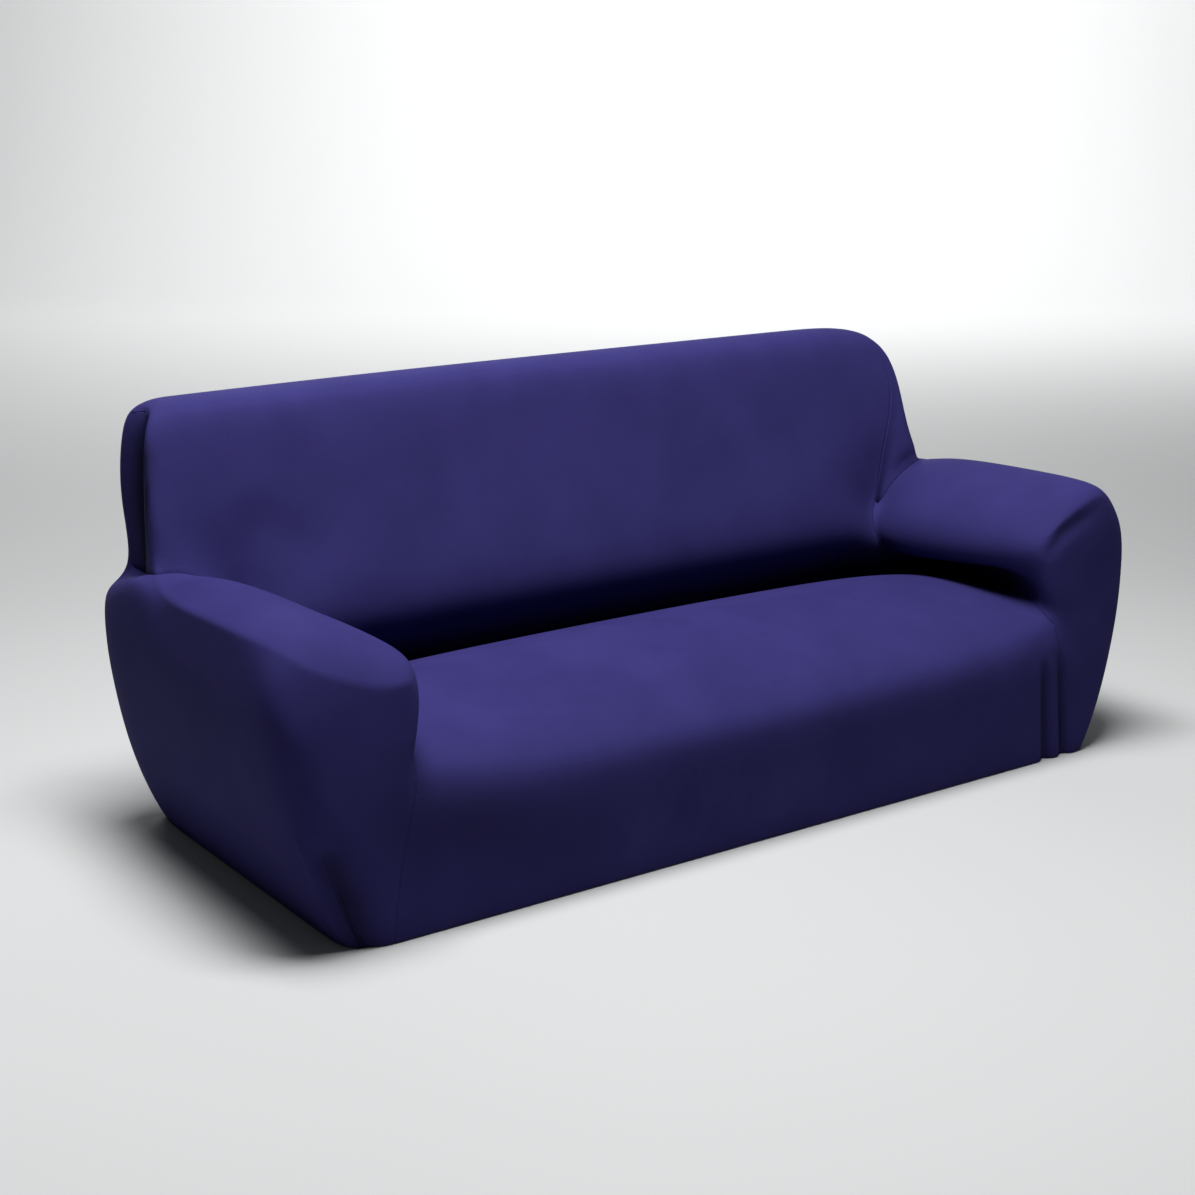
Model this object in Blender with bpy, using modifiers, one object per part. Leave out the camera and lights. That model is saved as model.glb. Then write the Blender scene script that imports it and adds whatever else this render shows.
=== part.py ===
"""Fitted stretch slipcover for a three-seat sofa with padded arms.

The cover is a hollow shell, open at the bottom. It is sewn from five panels:
a body panel (skirt, seat, inside back, top, outside back), two arm panels
and two gussets over the ends of the backrest.

Metres, +Z up, +Y to the back, -Y to the viewer. The origin is at the middle
of the cover's footprint, at the height of the hem.

How it is made: a coarse cage of columns (along X), rows (along Y) and levels
(along Z) wraps the filled cells of a sofa form. The tables below place each
column, row and level, a Subdivision Surface rounds the cage, the folds are
pressed in, and the skin is parted along the seams and thickened inwards.
"""
import math

import bmesh
import bpy
from mathutils import Vector

# ---------------------------------------------------------------- main sizes
CLOTH = 0.002             # thickness of the knit
SEAM_GAP = 0.00036        # clear gap between two sewn panels
SEAM_DIP = 0.0012         # how far a seam line is drawn in by its stitches
HEM_RETURN = 0.024        # width of the hem that is turned under
HEM_SMOOTHING = 10        # passes that even out its direction under the folds
HEM_DEPTH = 0.8455        # depth of the footprint at the hem
CENTRE_Y = 0.5 * HEM_DEPTH + 0.0078

# ------------------------------------------------------------ cage of columns
# Columns run from -9 to 9. Arms start at ARM_COLUMN, the backrest at BACK_ROW.
ARM_COLUMN, END_COLUMN = 5, 9
BACK_ROW, SEAM_ROW, REAR_ROW = 6, 8, 9
SEAT_LEVEL, PAD_LEVEL, ARM_LEVEL, TOP_LEVEL = 5, 7, 9, 13

# Share of the half width between the arms, for columns 0 to 5.
COLUMN_SHARE = (0.0, 0.27, 0.53, 0.75, 0.905, 1.0)
# Share of an arm's thickness, for columns 5 to 9.
ARM_SHARE = (0.0, 0.24, 0.50, 0.76, 1.0)
# Depth of each row, from the front hem to the rear.
ROW_Y = (0.0, 0.05, 0.13, 0.26, 0.40, 0.52, 0.62, 0.70, 0.78, HEM_DEPTH)

# Each level of the lower part: height and half width outside, height and
# half width on the inner side of the arm, and how far the front bulges.
#        level: outer_z, outer_x, inner_z, inner_x, front_bulge
ARM_SECTION = (
    ("hem",      0.000, 0.957, 0.000, 0.886, 0.000),
    ("ankle",    0.035, 0.978, 0.035, 0.883, 0.003),
    ("shin",     0.110, 1.012, 0.100, 0.872, 0.006),
    ("calf",     0.190, 1.038, 0.165, 0.860, 0.008),
    ("knee",     0.270, 1.057, 0.232, 0.842, 0.011),
    ("seat",     0.345, 1.071, 0.300, 0.890, 0.010),
    ("recess",   0.405, 1.078, 0.385, 0.892, 0.006),
    ("pad_low",  0.465, 1.080, 0.394, 0.802, 0.004),
    ("pad_mid",  0.530, 1.070, 0.450, 0.762, 0.002),
    ("arm_top",  0.590, 1.034, 0.530, 0.785, -0.010),
)
# The arm's inner side, row by row from the front to the backrest: half width
# and height at the levels seat, recess, pad_low, pad_mid and arm_top. Under
# the pad the cloth tucks in; at both ends it runs straight down to the seat.
#    seat            recess          pad_low         pad_mid         arm_top
INNER_SIDE = (
    ((.832, .314), (.804, .372), (.795, .440), (.784, .482), (.792, .512)),
    ((.837, .350), (.807, .382), (.790, .440), (.772, .484), (.788, .520)),
    ((.862, .356), (.868, .412), (.782, .430), (.764, .474), (.786, .527)),
    ((.886, .345), (.892, .402), (.782, .412), (.762, .460), (.785, .523)),
    ((.888, .335), (.892, .388), (.784, .396), (.762, .448), (.785, .513)),
    ((.876, .318), (.878, .376), (.796, .386), (.778, .434), (.800, .492)),
    ((.850, .262), (.836, .335), (.826, .390), (.822, .418), (.828, .442)),
)
LEFT_INNER_FRONT = ((.807, .308), (.793, .370), (.796, .430), (.797, .466), (.803, .494))   # there
# The padded top of an arm from its second column outwards: half width and
# height along most of its length, and where it meets the backrest.
ARM_TOP = {
    -1: ((0.842, 0.548), (0.905, 0.588), (0.972, 0.618), (1.064, 0.572)),
    1: ((0.842, 0.575), (0.905, 0.608), (0.972, 0.628), (1.036, 0.588)),
}
ARM_TOP_REAR = ((0.862, 0.518), (0.910, 0.564), (0.970, 0.598), (1.030, 0.570))
ARM_TOP_SHARE = (0.0, 0.0, 0.0, 0.0, 0.0, 0.15, 1.0)      # row by row
# The inside back between the arms, level by level: height and depth.
INSIDE_BACK = ((0.262, 0.655), (0.385, 0.576), (0.440, 0.564), (0.510, 0.583), (0.575, 0.608))
# The backrest above the arms. Its end is widest at the front, where the
# padding stands out, and is drawn in along the left seam.
#     level: height, front_y, rear_y, front half width left and right,
#     rear half width, seam_y on the left end
BACK_SECTION = (
    ("arm_top",  0.540, 0.606, 0.870, 1.036, 0.998, 0.972, 0.768),
    ("low",      0.655, 0.638, 0.868, 1.030, 0.995, 1.012, 0.760),
    ("high",     0.740, 0.667, 0.866, 1.020, 0.996, 1.014, 0.752),
    ("shoulder", 0.842, 0.700, 0.858, 1.006, 0.990, 1.002, 0.744),
    ("top",      0.896, 0.718, 0.850, 0.992, 0.983, 0.990, 0.765),
)

# Where the seam between inside back and gusset runs on the right end: half
# width at the levels from arm_top to top. On the left it lies on the end.
RIGHT_SEAM_X = (0.828, 0.915, 0.958, 0.964, 0.930)
LEFT_SEAM_X = (0.850, 0.862, 0.875, 0.885, 0.890)
LEFT_END_SHARE = (0.0, 0.30, 0.62, 0.90, 1.0)          # instead of ARM_SHARE
LEFT_VALLEY_X = (0.970, 0.966, 0.966, 0.966, 0.974)    # half width along the left seam

# The seat's height in the middle row by row, and how far each column of it
# rises from the height beside the arm towards that.
SEAT_MIDDLE = (0.274, 0.306, 0.348, 0.384, 0.386, 0.360, 0.268)
SEAT_CROWN_SHARE = (1.0, 0.98, 0.92, 0.76, 0.42, 0.0)
SEAT_FRONT_ROLL = 0.003   # set-back of the seat's front edge

# The arm's top falls towards the rear: at the front, the middle, the rear.
ARM_RISE = ((0.00, -0.006), (0.10, 0.0), (0.34, -0.005), (0.60, -0.017), (HEM_DEPTH, -0.050))
REAR_TAPER = 0.020        # the outer sides close in towards the rear
REAR_INNER_X = 0.862      # half width of column 5 on the outside back
REAR_BULGE = 0.026        # the outside back stands out at half height

# Upright corners seen from above, and set-backs of the other edges from the
# sharp corner that their two faces would make.
FRONT_RADIUS = ((0.0, 0.040), (0.30, 0.070))       # by height
REAR_RADIUS = 0.040
# How much lower an arm's top is row by row from its front edge, from its
# second column outwards. On the left the padding rolls over softly.
ARM_FRONT_DROP = {
    -1: ((0.068, 0.094, 0.095, 0.031), (0.022, 0.038, 0.038, 0.012), (0.008, 0.008, 0.0, 0.0)),
    1: ((0.012, 0.012, 0.012, 0.012), (0.0, 0.0, 0.0, 0.0)),
}
ARM_FRONT_SINK = {-1: (0.045, 0.066), 1: (0.0, 0.0)}   # pad_low and pad_mid there
ARM_FRONT_SET = {-1: -0.004, 1: 0.0}    # set-back of the arm's front top edge
INNER_CORNER = 0.004
BACK_FRONT_EDGE, BACK_REAR_EDGE, BACK_SIDE_EDGE = 0.013, 0.012, 0.014
RIGHT_SIDE_EDGE = (0.004, 0.014, 0.021, 0.022, 0.018)  # from arm_top to top
LEFT_SIDE_EDGE, LEFT_SIDE_SET = 0.010, 0.014
# Upper corners of the backrest, left and right: radius row by row.
END_RADIUS = {-1: (0.055, 0.055, 0.055, 0.055), 1: (0.120, 0.140, 0.150, 0.150)}
END_DROP = {-1: 0.009, 1: 0.0}         # how much lower the top is there
# Height of the fold where the backrest's end meets the arm, row by row.
END_FOLD_Z = (0.578, 0.560, 0.540, 0.512)
ARM_SHOULDER_DROP = (0.052, -0.003)     # pad_low and pad_mid below that fold

# How sharply the skin folds where two padded forms meet, from 0 to 1.
SEAT_CREASE, ARM_CREASE, BACK_CREASE, VALLEY_CREASE = 0.75, 0.55, 0.90, 0.85
PAD_CREASE, FRONT_CREASE = 0.60, {-1: 0.55, 1: 0.35}
SIDE_CREASE = {-1: 0.55, 1: 0.30}
ARM_CREASE_ROWS = 2       # rows over which the crease beside the arm sets in
PAD_CREASE_ROWS = {2, 3, 4}
EDGE_LEAN = 0.3           # share of its set-back that a top edge moves in by

# Soft folds pressed into the skin: where each starts and ends, its reach to
# either side, its depth at the start and at the end (below zero stands proud),
# and into how many strips the skin is divided across it.
FOLDS = (
    # name, start, end, reach, depth at start, depth at end, strips
    ("gather by the right arm", (.808, -.010, .215), (.822, .000, .000), .013, .002, .013, 4),
    ("ridge between the gathers", (.832, -.012, .225), (.845, .000, .000), .010, .000, -.006, 4),
    ("gather on the right seam", (.853, -.010, .235), (.870, .000, .000), .013, .003, .014, 4),
    ("corner fold, left front", (-.985, .045, .200), (-.905, -.002, .000), .030, .000, .015, 2),
    ("corner ridge, left front", (-1.030, .120, .190), (-.945, .055, .000), .024, .000, -.007, 2),
    ("crease over the right pad's corner", (.790, .000, .500), (.945, -.002, .560), .016, .010, .006, 2),
    ("dent in the inside back", (-.780, .625, .640), (-.700, .620, .600), .070, .009, .006, 1),
)
FOLD_END = 2.2            # a fold is nothing past this many times its reach
STRIP_ZONE = 1.6          # strips are cut up to this many times a fold's reach
WIDE_SPAN = 1.2           # and only where the skin's faces are wider than this
CROSSING = 0.5            # an edge crosses a fold if their cosine is below this
LONGEST_MITRE = 0.6       # cosine past which a mitre grows no longer


def table(rows, x):
    """Straight interpolation in rows of (x, value)."""
    for (x0, v0), (x1, v1) in zip(rows, rows[1:]):
        if x <= x1:
            return v0 + (v1 - v0) * max(0.0, x - x0) / (x1 - x0)
    return rows[-1][1]


def filled(column, row, level):
    """Whether the cell that starts at this column, row and level is inside."""
    reach = abs(column + 0.5)
    if row < 0 or row >= REAR_ROW or reach > END_COLUMN or level < 0:
        return False
    on_arm, on_back = reach > ARM_COLUMN, row >= BACK_ROW
    if level < SEAT_LEVEL:
        return True
    if level < ARM_LEVEL:
        return on_arm or on_back
    return on_back and level < TOP_LEVEL


def rear_y(z):
    return HEM_DEPTH + REAR_BULGE * math.sin(math.pi * min(z / 0.95, 1.0)) ** 0.7


def across(a, inner, outer, shares=ARM_SHARE):
    """Half width of column a, between the half widths of columns 5 and 9."""
    if a <= ARM_COLUMN:
        return inner * COLUMN_SHARE[a]
    return inner + (outer - inner) * shares[a - ARM_COLUMN]


def rounded_corner(a, b, edge_a, edge_b, radius):
    """Bend the square corner at (edge_a, edge_b) into an arc."""
    p = (a - edge_a) / radius + 1.0
    q = (b - edge_b) / radius + 1.0
    if p <= 0.0 or q <= 0.0:
        return a, b
    p, q = min(p, 1.0), min(q, 1.0)
    a = edge_a + radius * (p * math.sqrt(1.0 - 0.5 * q * q) - 1.0)
    b = edge_b + radius * (q * math.sqrt(1.0 - 0.5 * p * p) - 1.0)
    return a, b


def lower_point(side, a, row, level):
    """A cage point up to the top of the arms, for the half with this side."""
    _, outer_z, outer_x, inner_z, inner_x, bulge = ARM_SECTION[level]
    y = ROW_Y[row]
    outer_x -= REAR_TAPER * (y / HEM_DEPTH) ** 2 * min(1.0, outer_z / 0.4)
    outer_z += table(ARM_RISE, y) * max(0.0, (level - SEAT_LEVEL) / 4)
    if row >= BACK_ROW and level in (ARM_LEVEL - 2, ARM_LEVEL - 1):
        outer_z = END_FOLD_Z[row - BACK_ROW] - ARM_SHOULDER_DROP[level - ARM_LEVEL + 2]
    if row == REAR_ROW:
        inner_x, inner_z = REAR_INNER_X, outer_z
        y = rear_y(outer_z)
    elif level >= SEAT_LEVEL and row <= BACK_ROW:
        inner_side = LEFT_INNER_FRONT if side < 0 and row == 0 else INNER_SIDE[row]
        inner_x, inner_z = inner_side[level - SEAT_LEVEL]
    x = across(a, inner_x, outer_x)
    z = inner_z
    if a > ARM_COLUMN:
        z = inner_z + (outer_z - inner_z) * ARM_SHARE[a - ARM_COLUMN]
    if row == 0 and a >= ARM_COLUMN and level in (PAD_LEVEL, PAD_LEVEL + 1):
        z -= ARM_FRONT_SINK[side][level - PAD_LEVEL]
    if row == 0:
        y = -bulge
        if level == ARM_LEVEL:
            y += ARM_FRONT_SET[side]
        if a == ARM_COLUMN and level > SEAT_LEVEL:
            y += INNER_CORNER
        if level == SEAT_LEVEL and a <= ARM_COLUMN:
            y = SEAT_FRONT_ROLL
    if level == SEAT_LEVEL and a <= ARM_COLUMN and row <= BACK_ROW:
        z = inner_z + (SEAT_MIDDLE[row] - inner_z) * SEAT_CROWN_SHARE[a]
    if level == ARM_LEVEL and a > ARM_COLUMN and row <= BACK_ROW:
        x, z = top_of_arm(side, a, row)
    if row == BACK_ROW and level >= SEAT_LEVEL and (a <= ARM_COLUMN or level == ARM_LEVEL):
        back_z, y = INSIDE_BACK[level - SEAT_LEVEL]
        if a < ARM_COLUMN:
            z = back_z
    if a > ARM_COLUMN:
        x, front = rounded_corner(x, -y, outer_x, bulge, table(FRONT_RADIUS, outer_z))
        x, y = rounded_corner(x, -front, outer_x, rear_y(outer_z), REAR_RADIUS)
    if level == ARM_LEVEL and row >= BACK_ROW and a == END_COLUMN:
        x, y = end_of_back(side, row, 0)
        z = END_FOLD_Z[row - BACK_ROW]
    return Vector((side * x, y, z))


def top_of_arm(side, a, row):
    """Half width and height of an arm's top at a column and row."""
    share = ARM_TOP_SHARE[row]
    place = a - ARM_COLUMN - 1
    middle, rear = ARM_TOP[side][place], ARM_TOP_REAR[place]
    x, z = (m + (r - m) * share for m, r in zip(middle, rear))
    z += table(ARM_RISE, ROW_Y[row])
    if row < len(ARM_FRONT_DROP[side]):
        z -= ARM_FRONT_DROP[side][row][place]
    return x, z


def end_of_back(side, row, step):
    """Half width and depth of the backrest's end, step levels above the arm."""
    _, _, front_y, back_y, left_x, right_x, rear_x, seam_y = BACK_SECTION[step]
    front_x = right_x if side > 0 else left_x
    share = (row - BACK_ROW) / (REAR_ROW - BACK_ROW)
    x = front_x + (rear_x - front_x) * share
    y = front_y + (back_y - front_y) * share
    if side < 0 and row == SEAM_ROW:
        x, y = LEFT_VALLEY_X[step], seam_y
    elif side < 0 and row == BACK_ROW + 1:
        x, y = front_x - LEFT_SIDE_SET, 0.5 * (front_y + seam_y)
    front_edge = RIGHT_SIDE_EDGE[step] if side > 0 else LEFT_SIDE_EDGE
    if row == BACK_ROW:
        x, y = x - front_edge, y + front_edge
    if row == REAR_ROW:
        x, y = x - BACK_SIDE_EDGE, y - BACK_SIDE_EDGE
    return x, y


def upper_point(side, a, row, level):
    """A cage point of the backrest above the arms."""
    step = level - ARM_LEVEL
    _, z, front_y, back_y, *_ = BACK_SECTION[step]
    end_x, end_y = end_of_back(side, row, step)
    seam_x = (RIGHT_SEAM_X if side > 0 else LEFT_SEAM_X)[step]
    x = across(a, seam_x, end_x, ARM_SHARE if side > 0 else LEFT_END_SHARE)
    share = (row - BACK_ROW) / (REAR_ROW - BACK_ROW)
    y = front_y + (back_y - front_y) * share
    if a == END_COLUMN:
        y = end_y
    if level == TOP_LEVEL:
        z -= END_DROP[side] * (x / end_x) ** 2
        if row == BACK_ROW:
            y, z = y + EDGE_LEAN * BACK_FRONT_EDGE, z - BACK_FRONT_EDGE
        if row == REAR_ROW:
            y, z = y - EDGE_LEAN * BACK_REAR_EDGE, z - BACK_REAR_EDGE
    top = BACK_SECTION[-1][1] - END_DROP[side]
    x, z = rounded_corner(x, z, max(end_x, x), top, END_RADIUS[side][row - BACK_ROW])
    return Vector((side * x, y, z))


def cage_point(column, row, level):
    side, a = (-1 if column < 0 else 1), abs(column)
    if level > ARM_LEVEL:
        return upper_point(side, a, row, level)
    return lower_point(side, a, row, level)


PANELS = ("body_panel", "arm_panel_left", "arm_panel_right", "back_end_left", "back_end_right")


def panel_of(column, row, level, axis, outward):
    """Which panel the cage face on this side of a filled cell belongs to."""
    right = column >= 0
    on_arm = abs(column + 0.5) > ARM_COLUMN
    front = axis == 1 and outward < 0
    if axis == 0 and level >= ARM_LEVEL:
        wraps_round = not right and row < SEAM_ROW
        return "body_panel" if wraps_round else ("back_end_right" if right else "back_end_left")
    if front and row == BACK_ROW and level >= ARM_LEVEL and on_arm and right:
        return "back_end_right"
    arm_front = front and row == 0 and on_arm
    arm_top = axis == 2 and on_arm and row < BACK_ROW
    if axis == 0 or arm_front or arm_top:
        return "arm_panel_right" if right else "arm_panel_left"
    return "body_panel"


def crease_between(start, end):
    """How sharp the cage edge between two points of the lattice stays."""
    side = -1 if start[0] + end[0] < 0 else 1
    rows = {start[1], end[1]}
    levels = {start[2], end[2]}
    reach = {abs(start[0]), abs(end[0])}
    if levels == {SEAT_LEVEL}:
        if rows == {BACK_ROW} and max(reach) <= ARM_COLUMN:
            return SEAT_CREASE
        if reach == {ARM_COLUMN} and max(rows) <= BACK_ROW:
            return ARM_CREASE * min(1.0, min(rows) / ARM_CREASE_ROWS)
    if levels == {ARM_LEVEL}:
        if rows == {BACK_ROW} and min(reach) >= ARM_COLUMN:
            return BACK_CREASE
        if reach == {END_COLUMN}:
            return BACK_CREASE if min(rows) >= BACK_ROW else SIDE_CREASE[side]
        if rows == {0} and min(reach) >= ARM_COLUMN:
            return FRONT_CREASE[side]
    if levels == {PAD_LEVEL} and reach == {ARM_COLUMN} and rows & PAD_CREASE_ROWS:
        return PAD_CREASE
    on_left_end = start[0] == end[0] == -END_COLUMN and min(levels) >= ARM_LEVEL
    if on_left_end and rows == {SEAM_ROW}:
        return VALLEY_CREASE
    return 0.0


def cover_cage():
    """The whole skin as one open cage, each face marked with its panel."""
    cage = bmesh.new()
    points = {}

    def point(column, row, level):
        key = (column, row, level)
        if key not in points:
            points[key] = cage.verts.new(cage_point(*key))
        return points[key]

    for column in range(-END_COLUMN, END_COLUMN):
        for row in range(REAR_ROW):
            for level in range(TOP_LEVEL):
                if not filled(column, row, level):
                    continue
                cell = (column, row, level)
                for axis in range(3):
                    for outward in (-1, 1):
                        beyond = list(cell)
                        beyond[axis] += outward
                        open_bottom = axis == 2 and beyond[2] < 0
                        if open_bottom or filled(*beyond):
                            continue
                        corners = face_corners(cell, axis, outward)
                        face = cage.faces.new([point(*corner) for corner in corners])
                        face.material_index = PANELS.index(panel_of(*cell, axis, outward))
    places = {vertex: key for key, vertex in points.items()}
    crease = cage.edges.layers.float.new("crease_edge")
    for edge in cage.edges:
        edge[crease] = crease_between(*(places[vertex] for vertex in edge.verts))
    return cage


def face_corners(cell, axis, outward):
    """The four corners of a cell's face, counter-clockwise seen from outside."""
    u, v = (axis + 1) % 3, (axis + 2) % 3
    loop = ((0, 0), (1, 0), (1, 1), (0, 1))
    if outward < 0:
        loop = loop[::-1]
    corners = []
    for along_u, along_v in loop:
        corner = list(cell)
        corner[axis] += outward > 0
        corner[u] += along_u
        corner[v] += along_v
        corners.append(tuple(corner))
    return corners


def rounded_skin(cage, levels):
    """The cage as a smooth mesh."""
    mesh = bpy.data.meshes.new("cover_cage")
    cage.to_mesh(mesh)
    for name in PANELS:
        mesh.materials.append(knit_material(name))
    holder = bpy.data.objects.new("cover_cage", mesh)
    bpy.context.scene.collection.objects.link(holder)
    rounding = holder.modifiers.new("rounding", "SUBSURF")
    rounding.levels = rounding.render_levels = levels
    seen = holder.evaluated_get(bpy.context.evaluated_depsgraph_get())
    skin = bpy.data.meshes.new_from_object(seen)
    bpy.data.objects.remove(holder)
    return skin


def beside_fold(place, fold):
    """How far along a fold a place lies, from 0 to 1, and how far from it."""
    start, run = Vector(fold[1]), Vector(fold[2]) - Vector(fold[1])
    along = max(0.0, min(1.0, (place - start).dot(run) / run.length_squared))
    return along, (place - start - run * along).length


def divide_along_folds(skin):
    """Cut the skin into narrower strips where a fold will be pressed in."""
    mesh = bmesh.new()
    mesh.from_mesh(skin)
    for fold in FOLDS:
        reach, strips = fold[3], fold[6]
        if strips < 2:
            continue
        run = (Vector(fold[2]) - Vector(fold[1])).normalized()
        crossing = []
        for edge in mesh.edges:
            start, end = (vertex.co for vertex in edge.verts)
            span = end - start
            _, away = beside_fold((start + end) / 2, fold)
            wide = span.length > WIDE_SPAN * reach
            near = away < STRIP_ZONE * reach + span.length / 2
            if wide and near and abs(span.normalized().dot(run)) < CROSSING:
                crossing.append(edge)
        bmesh.ops.subdivide_edges(mesh, edges=crossing, cuts=strips - 1, use_grid_fill=True)
    mesh.to_mesh(skin)
    mesh.free()


def press_folds(skin):
    normals = [vertex.normal.copy() for vertex in skin.vertices]
    for vertex, normal in zip(skin.vertices, normals):
        depth = 0.0
        for fold in FOLDS:
            _, _, _, reach, depth_start, depth_end, _ = fold
            along, away = beside_fold(vertex.co, fold)
            if away < FOLD_END * reach:
                deepest = depth_start + (depth_end - depth_start) * along
                depth += deepest * math.exp(-((away / reach) ** 2))
        inwards = Vector((normal.x, normal.y, normal.z if vertex.co.z > 0.01 else 0.0))
        vertex.co -= inwards * depth
    skin.update()


def knit_material(name):
    """Dark indigo stretch knit."""
    material = bpy.data.materials.new(name + "_knit")
    material.use_nodes = True
    shader = material.node_tree.nodes["Principled BSDF"]
    shader.inputs["Base Color"].default_value = (0.040, 0.036, 0.150, 1.0)
    shader.inputs["Roughness"].default_value = 0.62
    shader.inputs["Metallic"].default_value = 0.0
    return material


class Skin:
    """The rounded skin as plain lists, with its turned hem."""

    def __init__(self, mesh):
        self.points = [vertex.co.copy() for vertex in mesh.vertices]
        self.faces = [(tuple(face.vertices), face.material_index) for face in mesh.polygons]
        self.turn_hem()
        self.normals, self.mitres = self.vertex_normals()

    def turn_hem(self):
        """Add the strip of cloth that is turned under along the open edge."""
        uses = {}
        for corners, panel in self.faces:
            for a, b in zip(corners, corners[1:] + corners[:1]):
                uses.setdefault((min(a, b), max(a, b)), []).append((a, b, panel))
        rim = [use[0] for use in uses.values() if len(use) == 1]
        away = {}
        for a, b, _ in rim:
            edge = self.points[b] - self.points[a]
            for end in (a, b):
                away[end] = away.get(end, Vector()) + Vector((edge.y, -edge.x, 0.0)).normalized()
        for _ in range(HEM_SMOOTHING):
            beside = {end: outward.normalized() for end, outward in away.items()}
            for a, b, _ in rim:
                away[a] = away[a] + beside[b]
                away[b] = away[b] + beside[a]
            away = {end: outward.normalized() for end, outward in away.items()}
        under = {}
        for end, outward in away.items():
            under[end] = len(self.points)
            self.points[end].z = 0.0
            inside = self.points[end] - outward.normalized() * HEM_RETURN
            self.points.append(Vector((inside.x, inside.y, 0.003)))
        for a, b, panel in rim:
            self.faces.append(((b, a, under[a], under[b]), panel))

    def vertex_normals(self):
        """Smooth normals, and how much a mitre lengthens each offset."""
        sums = [Vector() for _ in self.points]
        around = [[] for _ in self.points]
        for corners, _ in self.faces:
            normal = normal_of([self.points[index] for index in corners])
            for index in corners:
                sums[index] += normal
                around[index].append(normal)
        normals = [total.normalized() for total in sums]
        mitres = []
        for normal, faces in zip(normals, around):
            cosine = sum(normal.dot(face) for face in faces) / len(faces)
            mitres.append(1.0 / max(cosine, LONGEST_MITRE))
        return normals, mitres


def normal_of(corners):
    """The direction a face looks in, from the corners around it."""
    total = Vector()
    for a, b in zip(corners, corners[1:] + corners[:1]):
        total += (a - corners[0]).cross(b - corners[0])
    return total.normalized()


def seam_pull(skin, faces):
    """For one panel, how each point on its border moves away from the seam."""
    uses = {}
    for corners in faces:
        centre = sum((skin.points[i] for i in corners), Vector()) / len(corners)
        for a, b in zip(corners, corners[1:] + corners[:1]):
            uses.setdefault((min(a, b), max(a, b)), []).append((a, b, centre))
    rim = [use[0] for use in uses.values() if len(use) == 1]
    pulls = {}
    for a, b, centre in rim:
        along = (skin.points[b] - skin.points[a]).normalized()
        inward = centre - skin.points[a]
        inward -= along * inward.dot(along)
        for end in (a, b):
            flat = inward - skin.normals[end] * inward.dot(skin.normals[end])
            pulls.setdefault(end, []).append(flat.normalized())
    moves = {}
    for end, directions in pulls.items():
        middle = sum(directions, Vector()).normalized()
        share = max(0.5, middle.dot(directions[0]))
        moves[end] = middle * (0.5 * SEAM_GAP / share)
    return rim, moves


def sew_panel(skin, name, shared, collection):
    """One panel as a closed shell: outer face, inner face and edges."""
    faces = [corners for corners, panel in skin.faces if panel == PANELS.index(name)]
    rim, moves = seam_pull(skin, faces)
    shell = bmesh.new()
    outer, inner = {}, {}
    for index in sorted({i for corners in faces for i in corners}):
        normal = skin.normals[index]
        place = skin.points[index] + Vector((0.0, -CENTRE_Y, 0.0))
        if index in shared:
            place += moves[index] - normal * SEAM_DIP
        outer[index] = shell.verts.new(place)
        inner[index] = shell.verts.new(place - normal * (CLOTH * skin.mitres[index]))
    for corners in faces:
        shell.faces.new([outer[i] for i in corners])
        shell.faces.new([inner[i] for i in reversed(corners)])
    for a, b, _ in rim:
        shell.faces.new((outer[b], outer[a], inner[a], inner[b]))
    bmesh.ops.triangulate(shell, faces=shell.faces, quad_method="SHORT_EDGE")
    mesh = bpy.data.meshes.new(name)
    shell.to_mesh(mesh)
    shell.free()
    mesh.materials.append(knit_material(name))
    mesh.shade_smooth()
    mesh.set_sharp_from_angle(angle=math.radians(50))
    panel = bpy.data.objects.new(name, mesh)
    collection.objects.link(panel)
    return panel


def main():
    for item in list(bpy.data.objects):
        bpy.data.objects.remove(item)
    collection = bpy.data.collections.new("sofa_slipcover")
    bpy.context.scene.collection.children.link(collection)
    cage = cover_cage()
    mesh = rounded_skin(cage, levels=1)
    cage.free()
    divide_along_folds(mesh)
    press_folds(mesh)
    skin = Skin(mesh)
    bpy.data.meshes.remove(mesh)
    panels_at = {}
    for corners, panel in skin.faces:
        for index in corners:
            panels_at.setdefault(index, set()).add(panel)
    shared = {index for index, panels in panels_at.items() if len(panels) > 1}
    for name in PANELS:
        sew_panel(skin, name, shared, collection)


main()
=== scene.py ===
"""Looks of a fitted stretch sofa slipcover with padded arms and a raised back.

The cover is sewn from five panels, and each panel here is one thin sheet of
dark indigo jersey knit on the form of its CAD solid. The cage below is the
part's own, rounded more finely, with the creases and gathers of the cloth
listed and pressed in.

Metres, +Z up, +Y to the back, -Y to the viewer, hem at Z = 0.
"""
import itertools
import math

import bmesh
import bpy
import numpy as np
from mathutils import Matrix, Vector

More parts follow.
